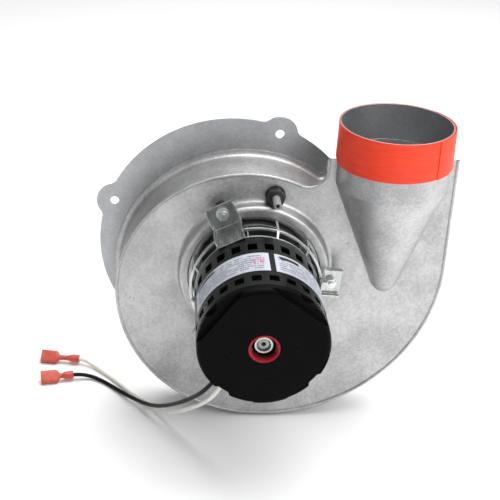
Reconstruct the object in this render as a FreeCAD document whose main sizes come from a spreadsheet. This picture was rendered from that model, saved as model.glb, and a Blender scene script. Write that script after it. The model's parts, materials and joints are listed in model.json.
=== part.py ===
# Combustion fan: sheet-metal scroll housing, open-frame motor, centrifugal impeller.
# Row frame in mm: origin at the centre of the four-ear bolt pattern, on the back face of the
# mounting plate. +Z is the way the outlet points, -Y is the side the motor stands on.
import FreeCAD, Part
import Sketcher
import math
import os

doc = FreeCAD.newDocument("combustion_fan")
Vec = FreeCAD.Vector
X_AXIS, Z_AXIS = Vec(1, 0, 0), Vec(0, 0, 1)

# ---------------------------------------------------------------- driving dimensions
sheet = doc.addObject("Spreadsheet::Sheet", "Dimensions")
DIMENSIONS = [
    # alias, value, what it is
    ("fan_x", 14.1, "shaft axis, to the right of the bolt-pattern centre"),
    ("fan_z", -2.45, "shaft axis, below the bolt-pattern centre"),
    ("mount_disc_r", 94.3, "round mounting plate"),
    ("mount_sheet", 1.2, "its thickness"),
    ("ear_circle_r", 89.1, "bolt circle radius"),
    ("ear_first_angle", 69.3, "first ear, degrees from +X"),
    ("ear_count", 4, "ears"),
    ("ear_lobe_r", 12.6, "ear lobe radius"),
    ("ear_blend_r", 6.0, "blend between ear and disc"),
    ("ear_hole_r", 3.2, "bolt hole radius"),
    ("inlet_r", 34.0, "inlet hole"),
    ("inlet_lip", 2.0, "radial thickness of the inlet ring"),
    ("inlet_depth", 7.0, "inner end of the inlet ring"),
    ("sheet_t", 1.0, "housing sheet"),
    ("plate_back", 38.5, "back face of the front plate"),
    ("plate_face", 39.5, "front face of the front plate"),
    ("hem_width", 1.9, "crimped rim of the front plate"),
    ("hem_height", 0.6, "rise of that rim"),
    ("wall_inset", 2.0, "scroll wall inside the plate outline"),
    ("foot_reach", 2.4, "foot flange outside the plate outline"),
    ("foot_blend", 3.2, "blend between foot flange and wall"),
    ("neck_left", 46.4, "left edge of the outlet neck"),
    ("neck_right", 135.5, "right edge of the outlet neck"),
    ("neck_top", 84.0, "top edge of the outlet neck"),
    ("saddle_r", 11.0, "concave corner between scroll and neck"),
    ("wall_left", 53.0, "left side of the pan's neck, before the inset"),
    ("wall_saddle_r", 5.0, "its concave corner, before the inset"),
    ("pan_top", 62.0, "where the pan ends and the half duct begins"),
    ("shaft_gap_r", 13.0, "clearance hole for the shaft in the front plate"),
    ("collar_x", 90.5, "outlet axis, to the right of the shaft"),
    ("collar_depth", 39.0, "outlet axis, in front of the mounting plate"),
    ("collar_r", 37.7, "outlet collar, outside"),
    ("collar_sheet", 0.8, "its thickness"),
    ("collar_top", 109.8, "rim of the collar above the shaft"),
    ("band_low", 84.6, "lower edge of the coloured band"),
    ("band_t", 0.9, "band thickness"),
    ("bulge_round_low", 68.0, "where the half-round bulge begins to taper"),
    ("bulge_tip_z", -10.0, "where the taper ends"),
    ("bulge_tip_x", 92.7, "centre of the narrow end"),
    ("bulge_tip_r", 9.0, "half width of the narrow end"),
    ("tap_x", 12.5, "pressure tap"),
    ("tap_z", 57.3, "pressure tap"),
    ("tap_corner_r", 6.7, "hexagon of the tap, corner radius"),
    ("tap_body_len", 6.5, "length of the hexagon"),
    ("tap_nozzle_r", 2.7, "hose spout radius"),
    ("tap_nozzle_len", 12.0, "hose spout length"),
    ("tap_bore_r", 1.3, "bore of the tap"),
    ("bracket_first_angle", 116.0, "first motor bracket"),
    ("bracket_count", 3, "motor brackets"),
    ("bracket_width", 20.5, "bracket width"),
    ("bracket_sheet", 1.0, "bracket sheet"),
    ("bracket_lip", 3.4, "height of the side lips"),
    ("foot_outer", 60.2, "outer end of the bracket foot"),
    ("foot_inner", 42.6, "bend between foot and leg"),
    ("foot_depth", 49.0, "underside of the foot"),
    ("leg_inner", 42.05, "where the leg meets the motor shell"),
    ("leg_top", 74.6, "upper end of the leg, on the shell"),
    ("stud_circle_r", 53.3, "bracket studs"),
    ("stud_r", 2.0, "stud radius"),
    ("stud_top", 55.6, "stud end"),
    ("boss_r", 52.2, "raised boss of the front plate, outside"),
    ("boss_foot_r", 55.4, "its blend into the plate"),
    ("boss_top", 48.9, "its flat top"),
    ("boss_inner_r", 45.3, "its inner edge"),
    ("boss_shoulder", 2.6, "its rounded shoulder"),
    ("boss_edge", 1.0, "its rounded inner edge"),
    ("cage_r", 45.2, "cage around the cooling wheel, outside"),
    ("cage_wire", 1.7, "radial width of its hoops"),
    ("cage_hoop", 64.0, "its middle hoop"),
    ("grommet_r", 4.7, "rubber spacer radius"),
    ("washer_r", 4.4, "washer radius"),
    ("washer_t", 0.8, "washer thickness"),
    ("nut_corner_r", 4.0, "hex nut corner radius"),
    ("nut_height", 3.2, "hex nut height"),
    ("shell_r", 42.0, "motor shell, outside"),
    ("shell_t", 1.2, "motor shell sheet"),
    ("motor_base", 71.2, "lower end of the motor"),
    ("cap_start", 134.0, "where the end cap begins"),
    ("motor_end", 141.6, "outer face of the end cap"),
    ("cap_edge_r", 3.4, "rounded edge of the cap"),
    ("cap_hole_r", 9.0, "hole for the rear bearing"),
    ("cap_first_angle", 53.0, "first of the cap's four flats"),
    ("cap_flat", 35.2, "distance of the four flats of the cap from the shaft"),
    ("cap_flat_drop", 3.2, "depth of those flats"),
    ("vent_count", 24, "vent windows in one row"),
    ("vent_width", 6.3, "window width"),
    ("vent_low_start", 80.3, "lower row"),
    ("vent_low_end", 89.3, "lower row"),
    ("vent_high_start", 122.4, "upper row"),
    ("vent_high_end", 129.5, "upper row"),
    ("label_start", 94.1, "nameplates"),
    ("label_end", 117.2, "nameplates"),
    ("label_t", 0.12, "nameplate thickness"),
    ("stator_start", 88.0, "lamination stack"),
    ("stator_end", 106.0, "lamination stack"),
    ("stator_bore_r", 20.6, "stator bore"),
    ("coil_inner_r", 23.0, "winding ends"),
    ("coil_outer_r", 33.4, "winding ends"),
    ("coil_height", 8.0, "winding ends"),
    ("rotor_r", 20.1, "rotor core"),
    ("shaft_r", 3.97, "shaft"),
    ("shaft_start", 14.0, "inner end of the shaft"),
    ("shaft_end", 135.7, "outer end of the shaft"),
    ("bearing_gap", 0.04, "running clearance in the bearings"),
    ("bearing_r", 5.8, "bearing sleeves, outside"),
    ("bearing_face", 137.2, "outer face of the rear bearing"),
    ("bearing_mouth_r", 4.6, "wider mouth of the rear bearing"),
    ("seal_r", 9.9, "red ring on the cap"),
    ("seal_t", 0.2, "height of its straight side"),
    ("seal_inner_r", 7.0, "its inner edge, sunk into the cap"),
    ("wheel_r", 41.0, "cooling wheel"),
    ("wheel_back", 44.6, "back face of its disc"),
    ("wheel_sheet", 0.9, "its sheet"),
    ("fin_count", 12, "cooling fins"),
    ("fin_first_angle", 70.0, "first fin"),
    ("hub_r", 9.0, "hubs on the shaft"),
    ("impeller_r", 60.0, "impeller"),
    ("impeller_eye_r", 46.0, "inner edge of the blades"),
    ("impeller_front", 9.0, "inlet side of the blades"),
    ("impeller_back", 31.0, "motor side of the blades"),
    ("blade_count", 30, "impeller blades"),
    ("blade_t", 0.8, "blade sheet"),
    ("lead_r", 1.5, "motor lead radius"),
    ("lead_bore_r", 1.57, "bores of the lead grommet"),
    ("grommet_angle", 240.5, "lead grommet"),
    ("grommet_depth", 111.75, "lead grommet"),
    ("lead_grommet_r", 5.4, "its neck"),
    ("lead_flange_r", 7.0, "its flange"),
    ("terminal_width", 10.0, "flat sleeve of a terminal"),
    ("terminal_height", 5.2, "flat sleeve of a terminal"),
    ("terminal_sleeve", 14.5, "length of the flat sleeve"),
    ("terminal_barrel", 7.5, "length of its round barrel"),
    ("terminal_barrel_r", 3.1, "barrel radius"),
]
for row, (alias, value, note) in enumerate(DIMENSIONS, start=1):
    sheet.set("A%d" % row, alias)
    sheet.set("B%d" % row, str(value))
    sheet.set("C%d" % row, note)
    sheet.setAlias("B%d" % row, alias)
doc.recompute()


def dim(name):
    return float(sheet.get(name))


# Every fan piece is drawn looking along the shaft: local x right, local y up,
# local z the depth in front of the mounting plate's back face.
TURN = FreeCAD.Rotation(X_AXIS, 90)
FAN = FreeCAD.Placement(Vec(dim("fan_x"), 0, dim("fan_z")), TURN)
FLANGE = FreeCAD.Placement(Vec(0, 0, 0), TURN)
pieces = []


# ---------------------------------------------------------------- helpers
def amount(text):
    """Value of 'alias + alias - number', with 'factor*alias' as one word."""
    total, sign = 0.0, 1.0
    for word in text.split():
        if word in "+-":
            sign = 1.0 if word == "+" else -1.0
            continue
        value = 1.0
        for factor in word.split("*"):
            value *= dim(factor) if factor[0].isalpha() else float(factor)
        total += sign * value
        sign = 1.0
    return total


def expression(text):
    """The same text as a FreeCAD expression on the sheet."""
    words = []
    for word in text.split():
        factors = ["Dimensions." + f if f[0].isalpha() else f for f in word.split("*")]
        words.append(" * ".join(factors))
    return " ".join(words)


def keep(obj, label):
    obj.Label = label
    pieces.append(obj)
    return obj


def keep_shape(label, shape, placement=FAN):
    obj = doc.addObject("Part::Feature", label)
    obj.Shape = shape
    obj.Placement = placement.multiply(shape.Placement)
    return keep(obj, label)


def new_body(label, placement=FAN):
    body = doc.addObject("PartDesign::Body", label)
    body.Placement = placement
    return keep(body, label)


def profile(body, name, plane, points):
    """Closed polygon; every corner is driven by two dimensions from the sheet."""
    sketch = body.newObject("Sketcher::SketchObject", name)
    base = [f for f in body.Origin.OriginFeatures if f.Role == plane][0]
    sketch.AttachmentSupport = [(base, "")]
    sketch.MapMode = "FlatFace"
    corners = [Vec(amount(px), amount(py), 0) for px, py in points]
    count = len(corners)
    for i in range(count):
        sketch.addGeometry(Part.LineSegment(corners[i], corners[(i + 1) % count]), False)
    for i in range(count):
        sketch.addConstraint(Sketcher.Constraint("Coincident", i, 2, (i + 1) % count, 1))
    for i, (px, py) in enumerate(points):
        for kind, text, value in (("DistanceX", px, corners[i].x), ("DistanceY", py, corners[i].y)):
            if abs(value) < 1e-9:
                axis = -2 if kind == "DistanceX" else -1
                sketch.addConstraint(Sketcher.Constraint("PointOnObject", i, 1, axis))
                continue
            index = sketch.addConstraint(Sketcher.Constraint(kind, -1, 1, i, 1, value))
            sketch.setExpression("Constraints[%d]" % index, expression(text))
    return sketch


def turned(label, points, placement=FAN):
    """Body turned about the local z axis from a (radius, depth) polygon."""
    body = new_body(label, placement)
    sketch = profile(body, label + "_profile", "XZ_Plane", points)
    feature = body.newObject("PartDesign::Revolution", label + "_turn")
    feature.Profile = sketch
    feature.ReferenceAxis = (sketch, ["V_Axis"])
    feature.Angle = 360
    body.Tip = feature
    return body


def ring(label, inner, outer, start, end, placement=FAN):
    return turned(label, [(inner, start), (outer, start), (outer, end), (inner, end)], placement)


def polar(radius, degrees, depth=0.0):
    turn = math.radians(degrees)
    return Vec(radius * math.cos(turn), radius * math.sin(turn), depth)


def spin(shape, degrees):
    copy = shape.copy()
    copy.rotate(Vec(0, 0, 0), Z_AXIS, degrees)
    return copy


def around(shape, count, first=0.0):
    """Copies of a shape spaced evenly about the local z axis."""
    return [spin(shape, first + i * 360.0 / count) for i in range(int(count))]


def disc(radius, start, end, x=0.0, y=0.0):
    return Part.makeCylinder(radius, end - start, Vec(x, y, start))


def hexagon(corner_r, start, end, x=0.0, y=0.0, first=0.0):
    """Hexagon head with its upper corners turned off."""
    corners = [polar(corner_r, first + 60 * i, start) + Vec(x, y, 0) for i in range(7)]
    head = Part.Face(Part.makePolygon(corners)).extrude(Vec(0, 0, end - start))
    turned_off = 0.16 * corner_r
    cone = Part.makeCone(corner_r + 4 * turned_off, corner_r - turned_off, 2.9 * turned_off,
                         Vec(x, y, end - 2.9 * turned_off))
    below = disc(corner_r + 1, start - 1, end - 2.8 * turned_off, x, y)
    return head.common(cone.fuse(below))


def lathe(points):
    """Solid turned about the local z axis from plain (radius, depth) numbers."""
    corners = [Vec(r, 0, w) for r, w in points]
    return Part.Face(Part.makePolygon(corners + corners[:1])).revolve(Vec(0, 0, 0), Z_AXIS, 360)


def one_solid(shape):
    """The clean single solid of a boolean result."""
    shape = shape.removeSplitter()
    return shape.Solids[0] if len(shape.Solids) == 1 else shape


# ---------------------------------------------------------------- scroll outline
# Four-centre volute about the shaft: (centre x, centre y, radius) of each quarter.
VOLUTE = [(10.0, 2.0, 125.5), (10.0, -17.3, 106.2), (-6.3, -17.3, 89.9), (-6.3, -17.3, 89.9)]


PLATE_NECK = ("neck_left", "saddle_r")
PAN_NECK = ("wall_left", "wall_saddle_r")


def outline(inset, top, neck):
    """Face of the scroll outline moved inward by inset, its neck cut off at top."""
    (x1, y1, r1), (x2, y2, r2), (x3, y3, r3), (x4, y4, r4) = VOLUTE
    neck_x, corner = dim(neck[0]), dim(neck[1])
    left, right = neck_x + inset, dim("neck_right") - inset
    cx = neck_x - corner
    cy = y4 + math.sqrt((r4 + corner) ** 2 - (cx - x4) ** 2)
    towards = Vec(cx - x4, cy - y4, 0).normalize()

    def arc(x, y, radius, start, end):
        mid = (start + end) / 2.0
        return Part.Arc(*[Vec(x, y, 0) + polar(radius, a) for a in (start, mid, end)]).toShape()

    last = math.degrees(math.atan2(towards.y, towards.x))
    edges = [
        arc(x1, y1, r1 - inset, 0, -90),
        arc(x2, y2, r2 - inset, -90, -180),
        arc(x3, y3, r3 - inset, 180, 90),
        arc(x4, y4, r4 - inset, 90, last),
        arc(cx, cy, corner + inset, last - 180, 0),
    ]
    points = [Vec(left, cy, 0), Vec(left, top, 0), Vec(right, top, 0), Vec(right, y1, 0)]
    edges += [Part.makeLine(a, b) for a, b in zip(points[:-1], points[1:])]
    return Part.Face(Part.Wire(Part.__sortEdges__(edges)))


def slab(inset, top, start, end, neck=PAN_NECK):
    face = outline(inset, top, neck)
    face.translate(Vec(0, 0, start))
    return face.extrude(Vec(0, 0, end - start))


bracket_angles = [dim("bracket_first_angle") + i * 360.0 / dim("bracket_count")
                  for i in range(int(dim("bracket_count")))]


# ---------------------------------------------------------------- housing
def mounting_plate():
    """Round plate with four blended ears; drawn about the bolt-pattern centre."""
    t = dim("mount_sheet")
    lobe = disc(dim("ear_lobe_r"), 0, t, x=dim("ear_circle_r"))
    lobes = around(lobe, dim("ear_count"), dim("ear_first_angle"))
    plate = one_solid(disc(dim("mount_disc_r"), 0, t).multiFuse(lobes))
    corners = [e for e in plate.Edges if e.Length < 1.01 * t and abs(e.tangentAt(0).z) > 0.99
               and math.hypot(e.CenterOfMass.x, e.CenterOfMass.y) > 90]
    plate = plate.makeFillet(dim("ear_blend_r"), corners)
    hole = disc(dim("ear_hole_r"), -1, t + 1, x=dim("ear_circle_r"))
    holes = around(hole, dim("ear_count"), dim("ear_first_angle"))
    inlet = disc(dim("inlet_r"), -1, t + 1, x=dim("fan_x"), y=dim("fan_z"))
    return plate.cut(Part.makeCompound(holes + [inlet]))


keep_shape("mounting_plate", mounting_plate(), FLANGE)

back_start = dim("mount_sheet")
back_end = back_start + dim("sheet_t")
pan_top = dim("pan_top")
scroll_back = slab(-dim("foot_reach"), pan_top, back_start, back_end)
keep_shape("scroll_back", scroll_back.cut(disc(dim("inlet_r"), 0, back_end + 1)))


def outlet_round(radius, low, high):
    """Upright cylinder about the outlet axis."""
    return Part.makeCylinder(radius, high - low, Vec(dim("collar_x"), low, dim("collar_depth")),
                             Vec(0, 1, 0))


def scroll_wall():
    """Wall of the scroll with a blended foot flange and the top strip of the pan."""
    t, inset, front = dim("sheet_t"), dim("wall_inset"), dim("plate_back")
    wall = slab(inset, pan_top, back_end, front)
    foot = slab(-dim("foot_reach"), pan_top, back_end, back_end + t)
    solid = one_solid(wall.fuse(foot))
    level = back_end + t
    rim = [e for e in outline(inset, pan_top, PAN_NECK).Edges
           if abs(e.CenterOfMass.y - pan_top) > 1e-3]
    seam = []
    for edge in solid.Edges:
        box = edge.BoundBox
        middle = edge.valueAt((edge.FirstParameter + edge.LastParameter) / 2)
        on_rim = min(Part.Vertex(middle.x, middle.y, 0).distToShape(e)[0] for e in rim) < 1e-3
        if abs(box.ZMin - level) < 1e-3 and abs(box.ZMax - level) < 1e-3 and on_rim:
            seam.append(edge)
    solid = solid.makeFillet(dim("foot_blend"), seam)
    inner = slab(inset + t, pan_top - t, back_end - 1, front + 1)
    return solid.cut(inner).cut(outlet_round(dim("collar_r") - t, pan_top - 2 * t, pan_top + t))


keep_shape("scroll_wall", scroll_wall())
ring("inlet_ring", "inlet_r", "inlet_r + inlet_lip", "mount_sheet + sheet_t", "inlet_depth")

behind_plate = Part.makeBox(400, 400, 100 + dim("plate_back"), Vec(-200, -200, -100))
half_duct = outlet_round(dim("collar_r"), pan_top, dim("neck_top"))
half_duct = half_duct.cut(outlet_round(dim("collar_r") - dim("sheet_t"), 0, 200)).common(behind_plate)
keep_shape("outlet_half_duct", half_duct)


def bulge_solid(shrink):
    """Outlet shape as a full round: a cylinder, cut to a tilted cone, with a ball end."""
    radius = dim("collar_r") - shrink
    depth, tip = dim("collar_depth"), dim("bulge_tip_z")
    base = Vec(dim("collar_x"), dim("bulge_round_low"), depth)
    end = Vec(dim("bulge_tip_x"), tip, depth)
    length = (end - base).Length
    down = (end - base) * (1 / length)
    slope = math.atan2(dim("collar_r") - dim("bulge_tip_r"), length)
    tip_r = dim("bulge_tip_r") - shrink / math.cos(slope)
    base_r = dim("collar_r") - shrink / math.cos(slope)
    above = 40.0
    cone = Part.makeCone(base_r + above * math.tan(slope), tip_r, length + above, base - down * above, down)
    round_part = outlet_round(radius, tip, dim("neck_top"))
    ball = Part.makeSphere(tip_r / math.cos(slope), end - down * (tip_r * math.tan(slope)))
    return cone.common(round_part.fuse(outlet_round(60, tip - 20, 0))).fuse(ball)


def stud_places(radius, start, end):
    """Discs at the three bracket studs."""
    peg = disc(radius, start, end, x=dim("stud_circle_r"))
    return Part.makeCompound([spin(peg, a) for a in bracket_angles])


def with_boss(plate):
    """Plate with a drawn ring: blended wall, rounded shoulder, flat top, turned-in inner edge."""
    t, face, back, top = dim("sheet_t"), dim("plate_face"), dim("plate_back"), dim("boss_top")
    outer, inner = dim("boss_r"), dim("boss_inner_r")
    raised = disc(outer, back, top).cut(disc(inner, 0, top + 1))
    plate = one_solid(plate.fuse(raised))
    for radius, level, size in ((outer, face, dim("boss_foot_r") - outer), (outer, top, dim("boss_shoulder")),
                                (inner, top, dim("boss_edge"))):
        rim = [e for e in plate.Edges if not e.Degenerated and e.Curve.TypeId == "Part::GeomCircle"
               and abs(e.Curve.Radius - radius) < 1e-3 and abs(e.Curve.Center.z - level) < 1e-3]
        plate = plate.makeFillet(size, rim)
    room = disc(outer - t, back - 1, top - t).cut(disc(inner + t, 0, top))
    room = room.cut(stud_places(dim("grommet_r") + 2, 0, top))
    pockets = stud_places(dim("grommet_r") + 0.4, face, top + 1)
    tap_seat = disc(dim("tap_corner_r") + 0.3, face, top + 1, dim("tap_x"), dim("tap_z"))
    return plate.cut(room).cut(pockets).cut(tap_seat)


def front_plate():
    t, face, back = dim("sheet_t"), dim("plate_face"), dim("plate_back")
    top = dim("neck_top")
    sheet_part = slab(0, top, back, face, PLATE_NECK)
    hem = slab(0, top, face, face + dim("hem_height"), PLATE_NECK)
    hem = hem.cut(slab(dim("hem_width"), top + 1, face - 1, face + 2, PLATE_NECK))
    outer, inner = bulge_solid(0), bulge_solid(t)
    front_half = Part.makeBox(200, 300, 100, Vec(0, -100, back))
    below_top = Part.makeBox(400, 400, 200, Vec(-200, top - 400, -50))
    shell = outer.common(front_half).cut(inner)
    mouth = outlet_round(dim("collar_r") - t, top - 1, top + 1)
    plate = sheet_part.fuse(hem).cut(outer).fuse(shell).cut(mouth).common(below_top)
    plate = plate.cut(disc(dim("shaft_gap_r"), back - 1, face + 1))
    plate = plate.cut(disc(1.1, back - 1, face + 1, x=-84.8, y=-23.9))
    dimple = Part.makeSphere(3.0, Vec(64.3, 21.2, face + 2.7))
    return one_solid(with_boss(one_solid(plate.cut(dimple))))


keep_shape("front_plate", front_plate())

# The collar and its band are turned about the outlet axis.
OUTLET = FreeCAD.Placement(Vec(dim("fan_x") + dim("collar_x"), -dim("collar_depth"), dim("fan_z")),
                           FreeCAD.Rotation())
ring("outlet_collar", "collar_r - collar_sheet", "collar_r", "neck_top", "collar_top", OUTLET)

ring("outlet_band", "collar_r", "collar_r + band_t", "band_low", "collar_top", OUTLET)

# ---------------------------------------------------------------- pressure tap
tap = (dim("tap_x"), dim("tap_z"))
tap_face = dim("plate_face")
tap_top = tap_face + dim("tap_body_len")
tap_bore = disc(dim("tap_bore_r"), tap_face - 5, tap_top + 40, *tap)
tap_flange = disc(dim("tap_corner_r") + 0.2, tap_face, tap_face + 1.2, *tap)
tap_body = tap_flange.fuse(hexagon(dim("tap_corner_r"), tap_face + 1.2, tap_top, *tap, first=12))
keep_shape("pressure_tap_body", one_solid(tap_body.cut(tap_bore)))
nozzle_end = tap_top + dim("tap_nozzle_len")
nozzle = lathe([(0, tap_top), (dim("tap_nozzle_r"), tap_top), (dim("tap_nozzle_r"), nozzle_end - 0.8),
                (dim("tap_nozzle_r") - 0.5, nozzle_end), (0, nozzle_end)])
nozzle.translate(Vec(tap[0], tap[1], 0))
keep_shape("pressure_tap_nozzle", nozzle.cut(tap_bore))

# ---------------------------------------------------------------- motor brackets


def bracket():
    """Foot and upright leg from one strip, with side lips; the leg's end lies on the motor shell."""
    t, half = dim("bracket_sheet"), dim("bracket_width") / 2
    foot_z, base = dim("foot_depth"), dim("motor_base")
    path = [Vec(dim("foot_outer"), 0, foot_z), Vec(dim("foot_inner"), 0, foot_z),
            Vec(dim("leg_inner"), 0, base), Vec(dim("leg_inner"), 0, dim("leg_top"))]

    def strip(points, thickness, y_start, y_end):
        """Polyline thickened towards the outside of the motor side."""
        normals = []
        for a, b in zip(points[:-1], points[1:]):
            along = (b - a).normalize()
            normals.append(Vec(-along.z, 0, along.x) * -1)
        raised = [points[0] + normals[0] * thickness]
        for n0, n1, p in zip(normals[:-1], normals[1:], points[1:-1]):
            raised.append(p + (n0 + n1) * (thickness / (1 + n0.dot(n1))))
        raised.append(points[-1] + normals[-1] * thickness)
        loop = points + raised[::-1]
        face = Part.Face(Part.makePolygon(loop + loop[:1]))
        face.translate(Vec(0, y_start, 0))
        return face.extrude(Vec(0, y_end - y_start, 0))

    sheet_part = strip(path, t, -half, half)
    lips = [strip(path[:3], t + dim("bracket_lip"), y, y + t) for y in (-half, half - t)]
    solid = sheet_part.fuse(lips)
    return one_solid(solid.cut(disc(dim("stud_r") + 0.2, 40, 80, x=dim("stud_circle_r"))))


bracket_shape = bracket()
for name, angle in zip(("top", "left", "right"), bracket_angles):
    keep_shape("motor_bracket_" + name, spin(bracket_shape, angle))

stud_x = dim("stud_circle_r")
foot_top = dim("foot_depth") + dim("bracket_sheet")
nut_start = foot_top + dim("washer_t")
stud_room = disc(dim("stud_r"), 0, 100, x=stud_x)
spacer = disc(dim("grommet_r"), dim("plate_face"), dim("foot_depth"), x=stud_x).cut(stud_room)
waist = lathe([(dim("grommet_r") - 0.8, 43), (dim("grommet_r") + 1, 43), (dim("grommet_r") + 1, 46),
               (dim("grommet_r") - 0.8, 46)])
waist.translate(Vec(stud_x, 0, 0))
fasteners = {
    "bracket_grommets": spacer.cut(waist),
    "bracket_studs": disc(dim("stud_r"), dim("plate_face"), dim("stud_top"), x=stud_x),
    "bracket_washers": disc(dim("washer_r"), foot_top, nut_start, x=stud_x).cut(stud_room),
    "bracket_nuts": hexagon(dim("nut_corner_r"), nut_start, nut_start + dim("nut_height"),
                            x=stud_x, first=10).cut(stud_room),
}
for name, shape in fasteners.items():
    keep_shape(name, Part.makeCompound([spin(shape, a) for a in bracket_angles]))


def motor_cage():
    """Three hoops and upright bars between the boss and the motor, cut out at the brackets."""
    outer, wire, base = dim("cage_r"), dim("cage_wire"), dim("motor_base")
    low, middle = dim("boss_top") - 2.4, dim("cage_hoop")
    hoops = [(outer, low, low + 1.6), (outer, middle, middle + 1.3), (dim("leg_inner") - 0.05, base - 1.3, base)]
    rings = [disc(r, start, end).cut(disc(r - wire, 0, 100)) for r, start, end in hoops]
    top_r = hoops[2][0]
    bar = Part.Face(Part.makePolygon([Vec(x, -0.7, w) for x, w in (
        (outer - 1.4, low + 0.2), (outer - 0.1, low + 0.2), (outer - 0.1, middle + 0.8),
        (top_r - 0.1, base - 0.8), (top_r - 1.4, base - 0.8), (outer - 1.4, middle + 0.3),
        (outer - 1.4, low + 0.2))])).extrude(Vec(0, 1.4, 0))
    bars = [spin(bar, angle + 120 * i) for angle in (40, 73) for i in range(3)]
    cage = one_solid(rings[0].fuse(rings[1:] + bars))
    half = dim("bracket_width") / 2 + 0.4
    gap = Part.makeBox(20, 2 * half, 40, Vec(dim("leg_inner") - 0.02, -half, low - 5))
    return one_solid(cage.cut(Part.makeCompound([spin(gap, a) for a in bracket_angles])))


keep_shape("motor_cage", motor_cage())

# ---------------------------------------------------------------- motor, fixed pieces
shell_in = "shell_r - shell_t"
turned("motor_base_plate", [
    ("bearing_r", "motor_base"), (shell_in, "motor_base"), (shell_in, "motor_base + 1.2"),
    ("bearing_r + 2", "motor_base + 1.2"), ("bearing_r + 2", "motor_base + 8"),
    ("bearing_r", "motor_base + 8")])


def motor_shell():
    """Thin tube with two rows of square windows and the hole of the lead grommet."""
    r, t = dim("shell_r"), dim("shell_t")
    shell = disc(r, dim("motor_base"), dim("cap_start")).cut(disc(r - t, 0, 200))
    width = dim("vent_width")
    pitch = 360.0 / dim("vent_count")
    windows = []
    for start, end in (("vent_low_start", "vent_low_end"), ("vent_high_start", "vent_high_end")):
        box = Part.makeBox(10, width, dim(end) - dim(start), Vec(r - 6, -width / 2, dim(start)))
        windows += around(box, dim("vent_count"), pitch / 2)
    hole = Part.makeCylinder(dim("lead_grommet_r"), 20, Vec(30, 0, dim("grommet_depth")), X_AXIS)
    return shell.cut(Part.makeCompound(windows)).cut(spin(hole, dim("grommet_angle")))


keep_shape("motor_shell", motor_shell())


def motor_end_cap():
    """Drawn cup with a rounded edge, four flats with staked dents and four small dimples."""
    r, t, start, end = dim("shell_r"), dim("shell_t"), dim("cap_start"), dim("motor_end")
    edge = dim("cap_edge_r")
    outer = disc(r, start, end)
    outer = outer.makeFillet(edge, [e for e in outer.Edges if abs(e.BoundBox.ZMin - end) < 1e-3])
    inner = disc(r - t, start - 1, end - t)
    inner = inner.makeFillet(edge - t, [e for e in inner.Edges if abs(e.BoundBox.ZMin - end + t) < 1e-3])
    flat, level = dim("cap_flat"), end - dim("cap_flat_drop")
    dent_r, dent_x = 8.0, r + 5.2
    first = dim("cap_first_angle")
    dents = Part.makeCylinder(dent_r, 20, Vec(dent_x, 0, start + 1.2)).fuse(
        Part.makeBox(20, 80, 20, Vec(flat, -40, level)))
    backs = Part.makeCylinder(dent_r + t, end - start, Vec(dent_x, 0, start)).fuse(
        Part.makeBox(20, 80, end - level + t, Vec(flat - t, -40, level - t)))
    dents = Part.makeCompound(around(dents, 4, first))
    backs = Part.makeCompound([s.common(outer) for s in around(backs, 4, first)])
    cup = outer.cut(inner).fuse(backs.Solids).cut(dents)
    dimples = around(Part.makeSphere(2.0, Vec(21, 0, end + 1.5)), 4, 5)
    return one_solid(cup.cut(Part.makeCompound(dimples)).cut(disc(dim("cap_hole_r"), start, end + 1)))


keep_shape("motor_end_cap", motor_end_cap())
turned("rear_bearing", [
    ("shaft_r + bearing_gap", "motor_end - 13.6"), ("bearing_r", "motor_end - 13.6"),
    ("bearing_r", "bearing_face"), ("bearing_mouth_r", "bearing_face"),
    ("bearing_mouth_r", "shaft_end - 1.5"), ("shaft_r + bearing_gap", "shaft_end - 1.5")])
turned("bearing_carrier", [
    ("bearing_r", "motor_end - 13"), ("cap_hole_r + 2", "motor_end - 13"),
    ("cap_hole_r + 2", "motor_end - shell_t"), ("cap_hole_r", "motor_end - shell_t"),
    ("cap_hole_r", "motor_end - 7"), ("bearing_r", "motor_end - 7")])
turned("bearing_ring_red", [
    ("seal_inner_r", "motor_end - 4.6"), ("cap_hole_r", "motor_end - 4.6"), ("cap_hole_r", "motor_end"),
    ("seal_r", "motor_end"), ("seal_r", "motor_end + seal_t"), ("seal_r - 0.3", "motor_end + seal_t + 0.2"),
    ("cap_hole_r - 0.4", "motor_end + 0.1"), ("seal_inner_r", "motor_end - 3.8")])
ring("front_bearing", "shaft_r + bearing_gap", "bearing_r", "motor_base - 0.6", "motor_base + 8")


def nameplate(first, last):
    r = dim("shell_r")
    plate = Part.Face(Part.makePolygon([Vec(a, 0, b) for a, b in (
        (r, dim("label_start")), (r + dim("label_t"), dim("label_start")),
        (r + dim("label_t"), dim("label_end")), (r, dim("label_end")), (r, dim("label_start")))]))
    return spin(plate.revolve(Vec(0, 0, 0), Z_AXIS, last - first), first)


keep_shape("nameplate_main", nameplate(84.5, 166))
keep_shape("nameplate_small", nameplate(2, 79.5))


def stator_core():
    """Lamination stack: round outside, bore with six wide slots for the windings."""
    start, end = dim("stator_start"), dim("stator_end")
    core = disc(dim("shell_r") - dim("shell_t"), start, end).cut(disc(dim("stator_bore_r"), 0, 200))
    slot = Part.makeBox(9, 7, end - start, Vec(24, -3.5, start))
    mouth = Part.makeBox(6, 2, end - start, Vec(19, -1, start))
    return core.cut(Part.makeCompound(around(slot.fuse(mouth), 6)))


keep_shape("stator_core", stator_core())


def coil_ring(start):
    coil = disc(dim("coil_outer_r"), start, start + dim("coil_height"))
    coil = coil.cut(disc(dim("coil_inner_r"), 0, 200))
    return coil.makeFillet(2.4, [e for e in coil.Edges if e.Curve.TypeId == "Part::GeomCircle"])


keep_shape("stator_windings", Part.makeCompound([
    coil_ring(dim("stator_start") - dim("coil_height")), coil_ring(dim("stator_end"))]))

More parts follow.
